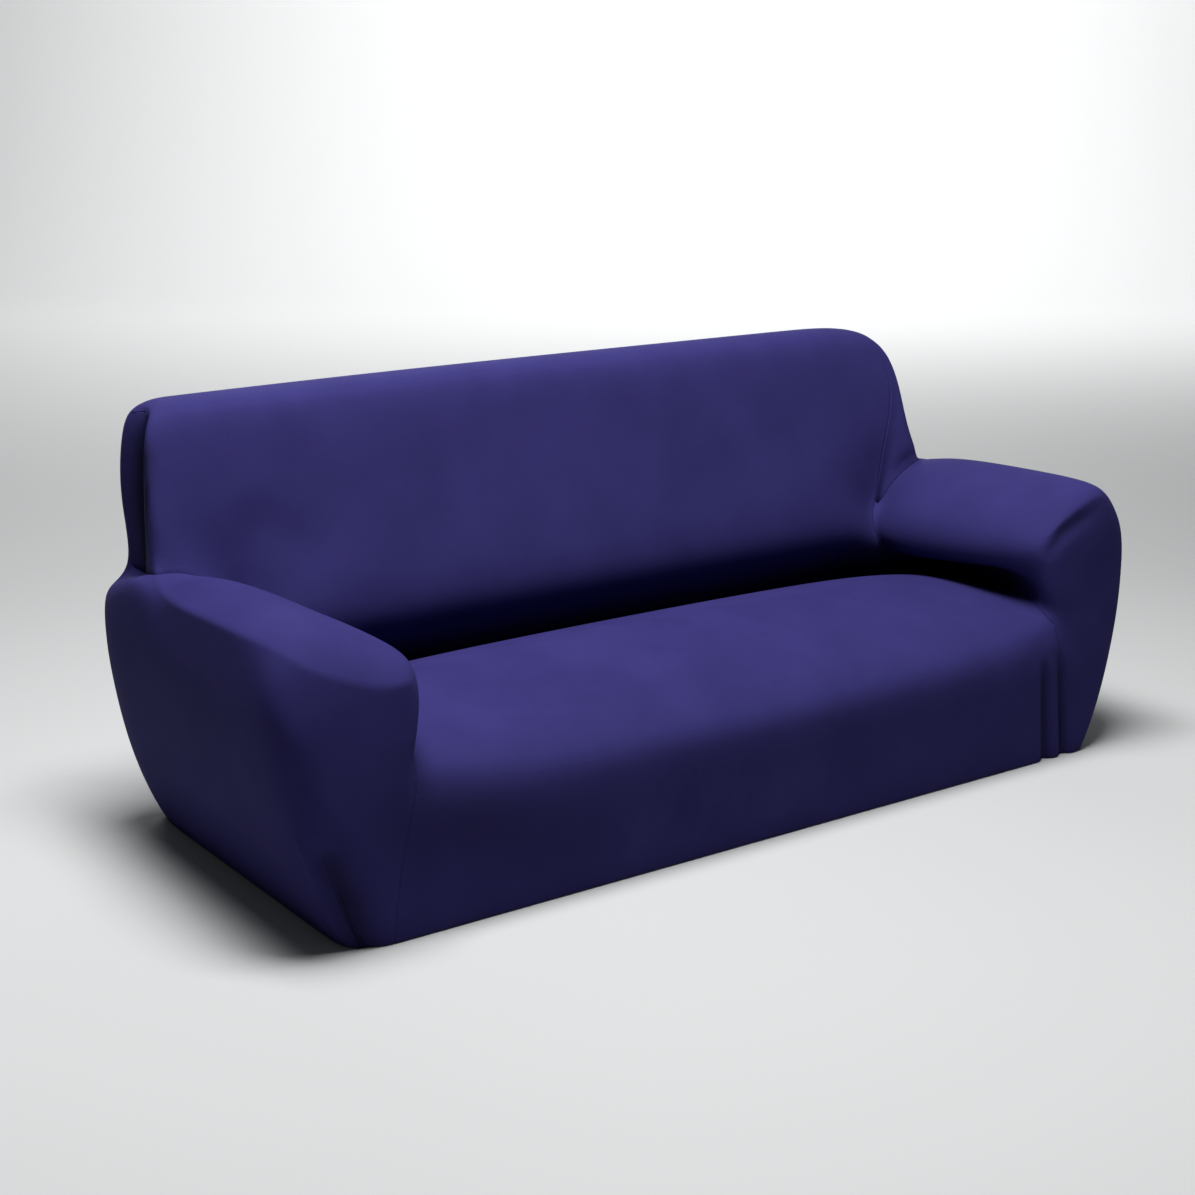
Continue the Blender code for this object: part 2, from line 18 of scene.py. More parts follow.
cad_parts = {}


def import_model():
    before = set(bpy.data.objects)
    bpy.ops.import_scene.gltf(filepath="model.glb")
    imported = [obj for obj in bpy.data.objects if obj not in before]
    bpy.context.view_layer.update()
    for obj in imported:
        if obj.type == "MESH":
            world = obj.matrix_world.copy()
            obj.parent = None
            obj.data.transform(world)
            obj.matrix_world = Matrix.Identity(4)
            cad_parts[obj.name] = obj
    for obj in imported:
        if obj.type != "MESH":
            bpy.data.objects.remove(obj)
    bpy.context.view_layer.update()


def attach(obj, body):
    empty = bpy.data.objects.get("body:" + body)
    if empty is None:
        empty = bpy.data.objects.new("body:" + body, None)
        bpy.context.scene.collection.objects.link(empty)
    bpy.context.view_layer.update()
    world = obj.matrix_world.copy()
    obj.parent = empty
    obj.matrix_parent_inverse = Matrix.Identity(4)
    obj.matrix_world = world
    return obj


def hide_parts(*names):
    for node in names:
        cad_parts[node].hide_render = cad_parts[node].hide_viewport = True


PANELS = ("body_panel", "arm_panel_left", "arm_panel_right", "back_end_left", "back_end_right")

# ---------------------------------------------------------------- main sizes
CLOTH = 0.002             # thickness of the knit
SEAM_GAP = 0.00036        # clear gap between two sewn panels
HEM_DEPTH = 0.8455        # depth of the footprint at the hem
CENTRE_Y = 0.5 * HEM_DEPTH + 0.0078     # middle of the whole footprint

# ------------------------------------------------------------ cage of columns
# Columns run from -9 to 9. Arms start at ARM_COLUMN, the backrest at BACK_ROW.
ARM_COLUMN, END_COLUMN = 5, 9
BACK_ROW, SEAM_ROW, REAR_ROW = 6, 8, 9
SEAT_LEVEL, PAD_LEVEL, ARM_LEVEL, TOP_LEVEL = 5, 7, 9, 13

# Share of the half width between the arms, for columns 0 to 5.
COLUMN_SHARE = (0.0, 0.27, 0.53, 0.75, 0.905, 1.0)
# Share of an arm's thickness, for columns 5 to 9.
ARM_SHARE = (0.0, 0.24, 0.50, 0.76, 1.0)
# Depth of each row, from the front hem to the rear.
ROW_Y = (0.0, 0.05, 0.13, 0.26, 0.40, 0.52, 0.62, 0.70, 0.78, HEM_DEPTH)

# Each level of the lower part: height and half width outside, height and
# half width on the inner side of the arm, and how far the front bulges.
#        level: outer_z, outer_x, inner_z, inner_x, front_bulge
ARM_SECTION = (
    ("hem",      0.000, 0.957, 0.000, 0.886, 0.000),
    ("ankle",    0.035, 0.978, 0.035, 0.883, 0.003),
    ("shin",     0.110, 1.012, 0.100, 0.872, 0.006),
    ("calf",     0.190, 1.038, 0.165, 0.860, 0.008),
    ("knee",     0.270, 1.057, 0.232, 0.842, 0.011),
    ("seat",     0.345, 1.071, 0.300, 0.890, 0.010),
    ("recess",   0.405, 1.078, 0.385, 0.892, 0.006),
    ("pad_low",  0.465, 1.080, 0.394, 0.802, 0.004),
    ("pad_mid",  0.530, 1.070, 0.450, 0.762, 0.002),
    ("arm_top",  0.590, 1.034, 0.530, 0.785, -0.010),
)
# The arm's inner side, row by row from the front to the backrest: half width
# and height at the levels seat, recess, pad_low, pad_mid and arm_top. Under
# the pad the cloth tucks in; at both ends it runs straight down to the seat.
#    seat            recess          pad_low         pad_mid         arm_top
INNER_SIDE = (
    ((.832, .314), (.804, .372), (.795, .440), (.784, .482), (.792, .512)),
    ((.837, .350), (.807, .382), (.790, .440), (.772, .484), (.788, .520)),
    ((.862, .356), (.868, .412), (.782, .430), (.764, .474), (.786, .527)),
    ((.886, .345), (.892, .402), (.782, .412), (.762, .460), (.785, .523)),
    ((.888, .335), (.892, .388), (.784, .396), (.762, .448), (.785, .513)),
    ((.876, .318), (.878, .376), (.796, .386), (.778, .434), (.800, .492)),
    ((.850, .262), (.836, .335), (.826, .390), (.822, .418), (.828, .442)),
)
# The front row on the left, where the padding rolls over.
LEFT_INNER_FRONT = ((.807, .308), (.793, .370), (.796, .430), (.797, .466), (.803, .494))
# The padded top of an arm from its second column outwards: half width and
# height along most of its length, and where it meets the backrest.
ARM_TOP = {
    -1: ((0.842, 0.548), (0.905, 0.588), (0.972, 0.618), (1.064, 0.572)),
    1: ((0.842, 0.575), (0.905, 0.608), (0.972, 0.628), (1.036, 0.588)),
}
ARM_TOP_REAR = ((0.862, 0.518), (0.910, 0.564), (0.970, 0.598), (1.030, 0.570))
ARM_TOP_SHARE = (0.0, 0.0, 0.0, 0.0, 0.0, 0.15, 1.0)      # row by row
# The inside back between the arms, level by level: height and depth.
INSIDE_BACK = ((0.262, 0.655), (0.385, 0.576), (0.440, 0.564), (0.510, 0.583), (0.575, 0.608))
# The backrest above the arms. Its end is widest at the front, where the
# padding stands out, and is drawn in along the left seam.
#     level: height, front_y, rear_y, front half width left and right,
#     rear half width, seam_y on the left end
BACK_SECTION = (
    ("arm_top",  0.540, 0.606, 0.870, 1.036, 0.998, 0.972, 0.768),
    ("low",      0.655, 0.638, 0.868, 1.030, 0.995, 1.012, 0.760),
    ("high",     0.740, 0.667, 0.866, 1.020, 0.996, 1.014, 0.752),
    ("shoulder", 0.842, 0.700, 0.858, 1.006, 0.990, 1.002, 0.744),
    ("top",      0.896, 0.718, 0.850, 0.992, 0.983, 0.990, 0.765),
)

# Where the seam between inside back and gusset runs on the right end: half
# width at the levels from arm_top to top. On the left it lies on the end.
RIGHT_SEAM_X = (0.828, 0.915, 0.958, 0.964, 0.930)
LEFT_SEAM_X = (0.850, 0.862, 0.875, 0.885, 0.890)
LEFT_END_SHARE = (0.0, 0.30, 0.62, 0.90, 1.0)          # instead of ARM_SHARE
LEFT_VALLEY_X = (0.970, 0.966, 0.966, 0.966, 0.974)    # half width along the left seam

# The seat's height in the middle row by row, and how far each column of it
# rises from the height beside the arm towards that.
SEAT_MIDDLE = (0.274, 0.306, 0.348, 0.384, 0.386, 0.360, 0.268)
SEAT_CROWN_SHARE = (1.0, 0.98, 0.92, 0.76, 0.42, 0.0)
SEAT_FRONT_ROLL = 0.003   # set-back of the seat's front edge

# The arm's top falls towards the rear: at the front, the middle, the rear.
ARM_RISE = ((0.00, -0.006), (0.10, 0.0), (0.34, -0.005), (0.60, -0.017), (HEM_DEPTH, -0.050))
REAR_TAPER = 0.020        # the outer sides close in towards the rear
TAPER_HEIGHT = 0.4        # height from which they do so fully
REAR_INNER_X = 0.862      # half width of column 5 on the outside back
REAR_BULGE = 0.026        # the outside back stands out at half height
BULGE_HEIGHT, BULGE_FULLNESS = 0.95, 0.7    # height of that swell, how full it is

# Upright corners seen from above, and set-backs of the other edges from the
# sharp corner that their two faces would make.
FRONT_RADIUS = ((0.0, 0.040), (0.30, 0.070))       # by height
REAR_RADIUS = 0.040
# How much lower an arm's top is row by row from its front edge, from its
# second column outwards. On the left the padding rolls over softly.
ARM_FRONT_DROP = {
    -1: ((0.068, 0.094, 0.095, 0.031), (0.022, 0.038, 0.038, 0.012), (0.008, 0.008, 0.0, 0.0)),
    1: ((0.012, 0.012, 0.012, 0.012), (0.0, 0.0, 0.0, 0.0)),
}
ARM_FRONT_SINK = {-1: (0.045, 0.066), 1: (0.0, 0.0)}   # pad_low and pad_mid there
ARM_FRONT_SET = {-1: -0.004, 1: 0.0}    # set-back of the arm's front top edge
INNER_CORNER = 0.004
BACK_FRONT_EDGE, BACK_REAR_EDGE, BACK_SIDE_EDGE = 0.013, 0.012, 0.014
RIGHT_SIDE_EDGE = (0.004, 0.014, 0.021, 0.022, 0.018)  # from arm_top to top
LEFT_SIDE_EDGE, LEFT_SIDE_SET = 0.010, 0.014
# Upper corners of the backrest, left and right: radius row by row.
END_RADIUS = {-1: (0.055, 0.055, 0.055, 0.055), 1: (0.120, 0.140, 0.150, 0.150)}
END_DROP = {-1: 0.009, 1: 0.0}         # how much lower the top is there
# Height of the fold where the backrest's end meets the arm, row by row.
END_FOLD_Z = (0.578, 0.560, 0.540, 0.512)
ARM_SHOULDER_DROP = (0.052, -0.003)     # pad_low and pad_mid below that fold

# How sharply the skin folds where two padded forms meet, from 0 to 1.
SEAT_CREASE, ARM_CREASE, BACK_CREASE, VALLEY_CREASE = 0.75, 0.55, 0.90, 0.85
PAD_CREASE, FRONT_CREASE = 0.60, {-1: 0.55, 1: 0.35}
SIDE_CREASE = {-1: 0.55, 1: 0.30}
ARM_CREASE_ROWS = 2       # rows over which the crease beside the arm sets in
PAD_CREASE_ROWS = {2, 3, 4}
EDGE_LEAN = 0.3           # share of its set-back that a top edge moves in by

# --------------------------------------------------------------- cloth detail
# The hem's edge is rolled: height of its lowest line, then how far in and how
# high each line of the strip that is turned under lies.
HEM_ROLL = 0.0026
HEM_FOLD = ((0.0012, 0.0022), (0.0032, 0.0021), (0.0240, 0.0055))
HEM_PASSES = 160          # passes that even out its direction under the folds
SEAM_ROLL = 0.0018        # width of the strip that rolls in beside a seam
SEAM_SINK = 0.0009        # how far its edge sinks
NEAR_SEAM = 3             # rings of points over which seam puckers fade out

FIRST_LEVELS, FINE_LEVELS = 1, 2        # roundings before and after the strips are cut
CREASE_ROUNDINGS = 10.0   # an edge of sharpness 1 stays sharp for so many roundings

# Strips that the skin is divided into before its last roundings, so that the
# narrow folds have cloth to run in.
STRIPS = (
    # start, end, reach, strips
    ((.790, -.010, .240), (.885, .000, .000), .050, 4),
    ((-1.010, .010, .235), (-.940, .010, .000), .060, 4),
    ((.790, .000, .500), (.945, -.002, .560), .030, 3),
    ((.960, .640, .600), (.860, .600, .530), .040, 3),
    ((-.980, .770, .850), (-.980, .786, .560), .036, 3),
)
STRIP_LEAN = 0.5          # an edge is cut where it leans less than this along a strip

# Creases of the cloth. Each is a soft trough (depth above zero) or ridge
# (below zero) along a path of points, with its reach to either side. Shade is painted into the
# bottom of each trough.
HEM_KEPT = 0.01           # below this height a crease leaves the hem's height as it is
CREASES = (
    # name, reach, how dark the shade painted into its bottom is, ((x, y, z, depth), ...)
    ("gather by the right arm", .014, .55,
     ((.784, -.012, .245, .000), (.793, -.010, .200, .011), (.806, -.006, .100, .015),
      (.820, .000, .000, .013))),
    ("gather on the right seam", .014, .55,
     ((.832, -.010, .265, .000), (.846, -.009, .200, .011), (.862, -.004, .100, .015),
      (.878, .003, .000, .013))),
    ("corner fold, left front", .032, .62,
     ((-1.010, .006, .235, .000), (-.995, .000, .190, .014), (-.965, -.001, .110, .020),
      (-.932, .004, .000, .018))),
    ("corner ridge, left front", .013, .00,
     ((-1.040, .040, .240, .000), (-1.028, .026, .200, -.005), (-1.004, .022, .130, -.006),
      (-.968, .028, .020, -.004))),
    ("crease over the right pad's corner", .018, .45,
     ((.795, .002, .485, .004), (.835, -.002, .524, .008), (.885, -.004, .546, .007),
      (.945, -.002, .562, .002))),
    ("valley on the left end", .020, .85,
     ((-.985, .752, .850, .004), (-.978, .754, .805, .026), (-.982, .762, .575, .030))),
    ("dip where the right arm meets the back", .020, .20,
     ((.985, .612, .585, .008), (.940, .600, .575, .012), (.900, .600, .550, .004))),
    ("dent in the inside back", .070, .05,
     ((-.780, .625, .640, .009), (-.700, .620, .600, .006))),
)

# Painted shade: deep corners of the cloth, where its colour is made darker and greyer.
PAINTED_SHADE_PLACES = (
    # name, reach, ((x, y, z, how dark the painted shade is), ...)
    ("between the seat and the back", .052,
     ((-.880, .615, .318, .85), (-.300, .615, .318, .75), (.400, .612, .320, .80),
      (.840, .600, .325, .95))),
    ("under the right pad", .062,
     ((.850, .110, .375, .20), (.870, .170, .365, .80), (.880, .360, .345, .95),
      (.856, .580, .335, .95))),
    ("left side of the pillow", .028,
     ((-1.000, .715, .835, .10), (-1.006, .710, .790, .90), (-1.016, .705, .575, .95))),
    ("left edge of the pillow", .011,
     ((-1.000, .690, .835, .30), (-1.010, .681, .800, .90), (-1.017, .679, .575, .95))),
    ("back end beside the pillow", .036,
     ((-.975, .762, .835, .10), (-.975, .766, .790, .85), (-.975, .778, .570, .95))),
    ("skirt by the left arm", .075,
     ((-.830, .000, .235, .34), (-.700, -.006, .205, .34), (-.560, -.008, .150, .20),
      (-.400, -.008, .110, .08))),
)

# Column and row along which the cloth's length is measured for its grain.
GRAIN_COLUMN, GRAIN_ROW = 3, 3


def table(rows, x):
    """Straight interpolation in rows of (x, value)."""
    for (x0, v0), (x1, v1) in zip(rows, rows[1:]):
        if x <= x1:
            return v0 + (v1 - v0) * max(0.0, x - x0) / (x1 - x0)
    return rows[-1][1]


def filled(column, row, level):
    """Whether the cell that starts at this column, row and level is inside."""
    reach = abs(column + 0.5)
    if row < 0 or row >= REAR_ROW or reach > END_COLUMN or level < 0:
        return False
    on_arm, on_back = reach > ARM_COLUMN, row >= BACK_ROW
    if level < SEAT_LEVEL:
        return True
    if level < ARM_LEVEL:
        return on_arm or on_back
    return on_back and level < TOP_LEVEL


def rear_y(z):
    """Depth of the outside back at a height."""
    swell = math.sin(math.pi * min(z / BULGE_HEIGHT, 1.0)) ** BULGE_FULLNESS
    return HEM_DEPTH + REAR_BULGE * swell


def across(a, inner, outer, shares=ARM_SHARE):
    """Half width of column a, between the half widths of columns 5 and 9."""
    if a <= ARM_COLUMN:
        return inner * COLUMN_SHARE[a]
    return inner + (outer - inner) * shares[a - ARM_COLUMN]


def rounded_corner(a, b, edge_a, edge_b, radius):
    """Bend the square corner at (edge_a, edge_b) into an arc."""
    p = (a - edge_a) / radius + 1.0
    q = (b - edge_b) / radius + 1.0
    if p <= 0.0 or q <= 0.0:
        return a, b
    p, q = min(p, 1.0), min(q, 1.0)
    a = edge_a + radius * (p * math.sqrt(1.0 - 0.5 * q * q) - 1.0)
    b = edge_b + radius * (q * math.sqrt(1.0 - 0.5 * p * p) - 1.0)
    return a, b


def lower_point(side, a, row, level):
    """A cage point up to the top of the arms, for the half with this side."""
    _, outer_z, outer_x, inner_z, inner_x, bulge = ARM_SECTION[level]
    y = ROW_Y[row]
    outer_x -= REAR_TAPER * (y / HEM_DEPTH) ** 2 * min(1.0, outer_z / TAPER_HEIGHT)
    outer_z += table(ARM_RISE, y) * max(0.0, (level - SEAT_LEVEL) / (ARM_LEVEL - SEAT_LEVEL))
    if row >= BACK_ROW and level in (ARM_LEVEL - 2, ARM_LEVEL - 1):
        outer_z = END_FOLD_Z[row - BACK_ROW] - ARM_SHOULDER_DROP[level - ARM_LEVEL + 2]
    if row == REAR_ROW:
        inner_x, inner_z = REAR_INNER_X, outer_z
        y = rear_y(outer_z)
    elif level >= SEAT_LEVEL and row <= BACK_ROW:
        inner_side = LEFT_INNER_FRONT if side < 0 and row == 0 else INNER_SIDE[row]
        inner_x, inner_z = inner_side[level - SEAT_LEVEL]
    x = across(a, inner_x, outer_x)
    z = inner_z
    if a > ARM_COLUMN:
        z = inner_z + (outer_z - inner_z) * ARM_SHARE[a - ARM_COLUMN]
    if row == 0 and a >= ARM_COLUMN and level in (PAD_LEVEL, PAD_LEVEL + 1):
        z -= ARM_FRONT_SINK[side][level - PAD_LEVEL]
    if row == 0:
        y = -bulge
        if level == ARM_LEVEL:
            y += ARM_FRONT_SET[side]
        if a == ARM_COLUMN and level > SEAT_LEVEL:
            y += INNER_CORNER
        if level == SEAT_LEVEL and a <= ARM_COLUMN:
            y = SEAT_FRONT_ROLL
    if level == SEAT_LEVEL and a <= ARM_COLUMN and row <= BACK_ROW:
        z = inner_z + (SEAT_MIDDLE[row] - inner_z) * SEAT_CROWN_SHARE[a]
    if level == ARM_LEVEL and a > ARM_COLUMN and row <= BACK_ROW:
        x, z = top_of_arm(side, a, row)
    if row == BACK_ROW and level >= SEAT_LEVEL and (a <= ARM_COLUMN or level == ARM_LEVEL):
        back_z, y = INSIDE_BACK[level - SEAT_LEVEL]
        if a < ARM_COLUMN:
            z = back_z
    if a > ARM_COLUMN:
        x, front = rounded_corner(x, -y, outer_x, bulge, table(FRONT_RADIUS, outer_z))
        x, y = rounded_corner(x, -front, outer_x, rear_y(outer_z), REAR_RADIUS)
    if level == ARM_LEVEL and row >= BACK_ROW and a == END_COLUMN:
        x, y = end_of_back(side, row, 0)
        z = END_FOLD_Z[row - BACK_ROW]
    return Vector((side * x, y, z))


def top_of_arm(side, a, row):
    """Half width and height of an arm's top at a column and row."""
    share = ARM_TOP_SHARE[row]
    place = a - ARM_COLUMN - 1
    middle, rear = ARM_TOP[side][place], ARM_TOP_REAR[place]
    x, z = (m + (r - m) * share for m, r in zip(middle, rear))
    z += table(ARM_RISE, ROW_Y[row])
    if row < len(ARM_FRONT_DROP[side]):
        z -= ARM_FRONT_DROP[side][row][place]
    return x, z


def end_of_back(side, row, step):
    """Half width and depth of the backrest's end, step levels above the arm."""
    _, _, front_y, back_y, left_x, right_x, rear_x, seam_y = BACK_SECTION[step]
    front_x = right_x if side > 0 else left_x
    share = (row - BACK_ROW) / (REAR_ROW - BACK_ROW)
    x = front_x + (rear_x - front_x) * share
    y = front_y + (back_y - front_y) * share
    if side < 0 and row == SEAM_ROW:
        x, y = LEFT_VALLEY_X[step], seam_y
    elif side < 0 and row == BACK_ROW + 1:
        x, y = front_x - LEFT_SIDE_SET, 0.5 * (front_y + seam_y)
    front_edge = RIGHT_SIDE_EDGE[step] if side > 0 else LEFT_SIDE_EDGE
    if row == BACK_ROW:
        x, y = x - front_edge, y + front_edge
    if row == REAR_ROW:
        x, y = x - BACK_SIDE_EDGE, y - BACK_SIDE_EDGE
    return x, y


def upper_point(side, a, row, level):
    """A cage point of the backrest above the arms."""
    step = level - ARM_LEVEL
    _, z, front_y, back_y, *_ = BACK_SECTION[step]
    end_x, end_y = end_of_back(side, row, step)
    seam_x = (RIGHT_SEAM_X if side > 0 else LEFT_SEAM_X)[step]
    x = across(a, seam_x, end_x, ARM_SHARE if side > 0 else LEFT_END_SHARE)
    share = (row - BACK_ROW) / (REAR_ROW - BACK_ROW)
    y = front_y + (back_y - front_y) * share
    if a == END_COLUMN:
        y = end_y
    if level == TOP_LEVEL:
        z -= END_DROP[side] * (x / end_x) ** 2
        if row == BACK_ROW:
            y, z = y + EDGE_LEAN * BACK_FRONT_EDGE, z - BACK_FRONT_EDGE
        if row == REAR_ROW:
            y, z = y - EDGE_LEAN * BACK_REAR_EDGE, z - BACK_REAR_EDGE
    top = BACK_SECTION[-1][1] - END_DROP[side]
    x, z = rounded_corner(x, z, max(end_x, x), top, END_RADIUS[side][row - BACK_ROW])
    return Vector((side * x, y, z))


def cage_point(column, row, level):
    """Where a corner of the cage lies."""
    side, a = (-1 if column < 0 else 1), abs(column)
    if level > ARM_LEVEL:
        return upper_point(side, a, row, level)
    return lower_point(side, a, row, level)


def panel_of(column, row, level, axis, outward):
    """Which panel the cage face on this side of a filled cell belongs to."""
    right = column >= 0
    on_arm = abs(column + 0.5) > ARM_COLUMN
    front = axis == 1 and outward < 0
    if axis == 0 and level >= ARM_LEVEL:
        wraps_round = not right and row < SEAM_ROW
        return "body_panel" if wraps_round else ("back_end_right" if right else "back_end_left")
    if front and row == BACK_ROW and level >= ARM_LEVEL and on_arm and right:
        return "back_end_right"
    arm_front = front and row == 0 and on_arm
    arm_top = axis == 2 and on_arm and row < BACK_ROW
    if axis == 0 or arm_front or arm_top:
        return "arm_panel_right" if right else "arm_panel_left"
    return "body_panel"


def crease_between(start, end):
    """How sharp the cage edge between two points of the lattice stays."""
    side = -1 if start[0] + end[0] < 0 else 1
    rows = {start[1], end[1]}
    levels = {start[2], end[2]}
    reach = {abs(start[0]), abs(end[0])}
    if levels == {SEAT_LEVEL}:
        if rows == {BACK_ROW} and max(reach) <= ARM_COLUMN:
            return SEAT_CREASE
        if reach == {ARM_COLUMN} and max(rows) <= BACK_ROW:
            return ARM_CREASE * min(1.0, min(rows) / ARM_CREASE_ROWS)
    if levels == {ARM_LEVEL}:
        if rows == {BACK_ROW} and min(reach) >= ARM_COLUMN:
            return BACK_CREASE
        if reach == {END_COLUMN}:
            return BACK_CREASE if min(rows) >= BACK_ROW else SIDE_CREASE[side]
        if rows == {0} and min(reach) >= ARM_COLUMN:
            return FRONT_CREASE[side]
    if levels == {PAD_LEVEL} and reach == {ARM_COLUMN} and rows & PAD_CREASE_ROWS:
        return PAD_CREASE
    on_left_end = start[0] == end[0] == -END_COLUMN and min(levels) >= ARM_LEVEL
    if on_left_end and rows == {SEAM_ROW}:
        return VALLEY_CREASE
    return 0.0


def face_corners(cell, axis, outward):
    """The four corners of a cell's face, counter-clockwise seen from outside."""
    u, v = (axis + 1) % 3, (axis + 2) % 3
    loop = ((0, 0), (1, 0), (1, 1), (0, 1))
    if outward < 0:
        loop = loop[::-1]
    corners = []
    for along_u, along_v in loop:
        corner = list(cell)
        corner[axis] += outward > 0
        corner[u] += along_u
        corner[v] += along_v
        corners.append(tuple(corner))
    return corners


def chains():
    """Lengths of cloth along the cover's own lines, for the knit's grain."""
    def run(keys):
        places = [cage_point(*key) for key in keys]
        steps = [(b - a).length for a, b in zip(places, places[1:])]
        return [0.0] + [sum(steps[:i + 1]) for i in range(len(steps))]

    near, far = GRAIN_COLUMN, GRAIN_ROW
    body = [(near, 0, level) for level in range(SEAT_LEVEL + 1)]
    body += [(near, row, SEAT_LEVEL) for row in range(1, BACK_ROW + 1)]
    body += [(near, BACK_ROW, level) for level in range(SEAT_LEVEL + 1, TOP_LEVEL + 1)]
    body += [(near, row, TOP_LEVEL) for row in range(BACK_ROW + 1, REAR_ROW + 1)]
    body += [(near, REAR_ROW, level) for level in range(TOP_LEVEL - 1, -1, -1)]
    arm = [(END_COLUMN, far, level) for level in range(ARM_LEVEL + 1)]
    arm += [(column, far, ARM_LEVEL) for column in range(END_COLUMN - 1, ARM_COLUMN - 1, -1)]
    arm += [(ARM_COLUMN, far, level) for level in range(ARM_LEVEL - 1, SEAT_LEVEL - 1, -1)]
    along_body = {key[1:]: length for key, length in zip(body, run(body))}
    return along_body, dict(zip(arm, run(arm)))


def grain_of(corner, axis, panel, lengths):
    """Where a corner of the cage lies on the flat cloth of its panel."""
    column, row, level = corner
    place = cage_point(*corner)
    along_body, along_arm = lengths
    if panel == "body_panel":
        if axis == 0:
            side = -1 if column < 0 else 1
            reach = abs(cage_point(column, BACK_ROW, level).x)
            across_body = side * (reach + place.y - ROW_Y[BACK_ROW])
            return across_body, along_body.get((BACK_ROW, level), place.z)
        return place.x, along_body.get((row, level), place.z)
    if panel.startswith("arm") and not (axis == 1 and row == 0):
        return place.y, along_arm.get((abs(column), GRAIN_ROW, level), place.z)
    return (place.y if axis == 0 else place.x), place.z


def outer_faces():
    """Each face of the cage that lies outside: its cell, axis and direction."""
    cells = itertools.product(range(-END_COLUMN, END_COLUMN), range(REAR_ROW), range(TOP_LEVEL))
    for cell in cells:
        if not filled(*cell):
            continue
        for axis, outward in itertools.product(range(3), (-1, 1)):
            beyond = list(cell)
            beyond[axis] += outward
            open_bottom = axis == 2 and beyond[2] < 0
            if not open_bottom and not filled(*beyond):
                yield cell, axis, outward


def cover_cage():
    """The whole skin as one open cage, each face marked with its panel."""
    cage = bmesh.new()
    points = {}
    lengths = chains()
    grain = cage.loops.layers.uv.new("grain")
    for cell, axis, outward in outer_faces():
        corners = face_corners(cell, axis, outward)
        for corner in corners:
            if corner not in points:
                points[corner] = cage.verts.new(cage_point(*corner))
        face = cage.faces.new([points[corner] for corner in corners])
        name = panel_of(*cell, axis, outward)
        face.material_index = PANELS.index(name)
        for loop, corner in zip(face.loops, corners):
            loop[grain].uv = grain_of(corner, axis, name, lengths)
    places = {vertex: key for key, vertex in points.items()}
    crease = cage.edges.layers.float.new("crease_edge")
    for edge in cage.edges:
        edge[crease] = crease_between(*(places[vertex] for vertex in edge.verts))
    return cage


def rounded(mesh, levels):
    """A mesh after Catmull-Clark rounding."""
    holder = bpy.data.objects.new("rounding", mesh)
    bpy.context.scene.collection.objects.link(holder)
    rounding = holder.modifiers.new("rounding", "SUBSURF")
    rounding.levels = rounding.render_levels = levels
    rounding.uv_smooth = "PRESERVE_BOUNDARIES"
    seen = holder.evaluated_get(bpy.context.evaluated_depsgraph_get())
    result = bpy.data.meshes.new_from_object(seen)
    bpy.data.objects.remove(holder)
    bpy.data.meshes.remove(mesh)
    return result


def ease_creases(mesh):
    """After the first roundings, a crease holds for that many less."""
    for item in mesh.attributes["crease_edge"].data:
        left = max(0.0, CREASE_ROUNDINGS * item.value ** 2 - FIRST_LEVELS)
        item.value = math.sqrt(left / CREASE_ROUNDINGS)


def beside(places, start, end):
    """How far along a line each place lies, from 0 to 1, and how far from it."""
    start, end = np.array(start), np.array(end)
    run = end - start
    along = np.clip((places - start) @ run / (run @ run), 0.0, 1.0)
    away = np.linalg.norm(places - start - along[:, None] * run, axis=1)
    return along, away


def divide_strips(mesh):
    """Cut the skin into narrower strips where a fold will be pressed in."""
    work = bmesh.new()
    work.from_mesh(mesh)
    for start, end, reach, strips in STRIPS:
        run = (Vector(end) - Vector(start)).normalized()
        edges = list(work.edges)
        middles = np.array([(edge.verts[0].co + edge.verts[1].co) / 2 for edge in edges])
        _, away = beside(middles, start, end)
        crossing = []
        for edge, distance in zip(edges, away):
            span = edge.verts[1].co - edge.verts[0].co
            leans = abs(span.normalized().dot(run)) >= STRIP_LEAN
            if distance < reach + span.length / 2 and not leans:
                crossing.append(edge)
        bmesh.ops.subdivide_edges(work, edges=crossing, cuts=strips - 1, use_grid_fill=True)
    work.to_mesh(mesh)
    work.free()


def near_path(places, path):
    """The value that a path has beside each place, and how far off it lies."""
    nearest = np.full(len(places), np.inf)
    wanted = np.zeros(len(places))
    for (*start, value), (*end, later) in zip(path, path[1:]):
        along, away = beside(places, start, end)
        closer = away < nearest
        nearest[closer] = away[closer]
        wanted[closer] = (value + (later - value) * along)[closer]
    return wanted, nearest


def press_creases(mesh):
    """Push the skin in along the creases, out along the ridges, and store the shade painted
    into its folds and corners.
    """
    count = len(mesh.vertices)
    places = np.empty(count * 3)
    mesh.vertices.foreach_get("co", places)
    places = places.reshape(-1, 3)
    normals = np.array([vertex.normal for vertex in mesh.vertices])
    depth = np.zeros(count)
    # painted shade of the folds and corners, which the material mixes into the cloth's colour
    shade = np.zeros(count)
    for _, reach, darkness, path in CREASES:
        wanted, nearest = near_path(places, path)
        soft = np.exp(-(nearest / reach) ** 2)
        depth += wanted * soft
        deepest = max(abs(point[3]) for point in path)
        shade = np.maximum(shade, darkness * np.clip(wanted / deepest, 0.0, 1.0) * soft)
    for _, reach, path in PAINTED_SHADE_PLACES:
        wanted, nearest = near_path(places, path)
        shade = np.maximum(shade, wanted * np.exp(-(nearest / reach) ** 2))
    low = places[:, 2] < HEM_KEPT
    normals[low, 2] = 0.0
    places -= normals * depth[:, None]
    mesh.vertices.foreach_set("co", places.ravel())
    mesh.attributes.new("shade", "FLOAT", "POINT").data.foreach_set("value", shade)
    mesh.update()


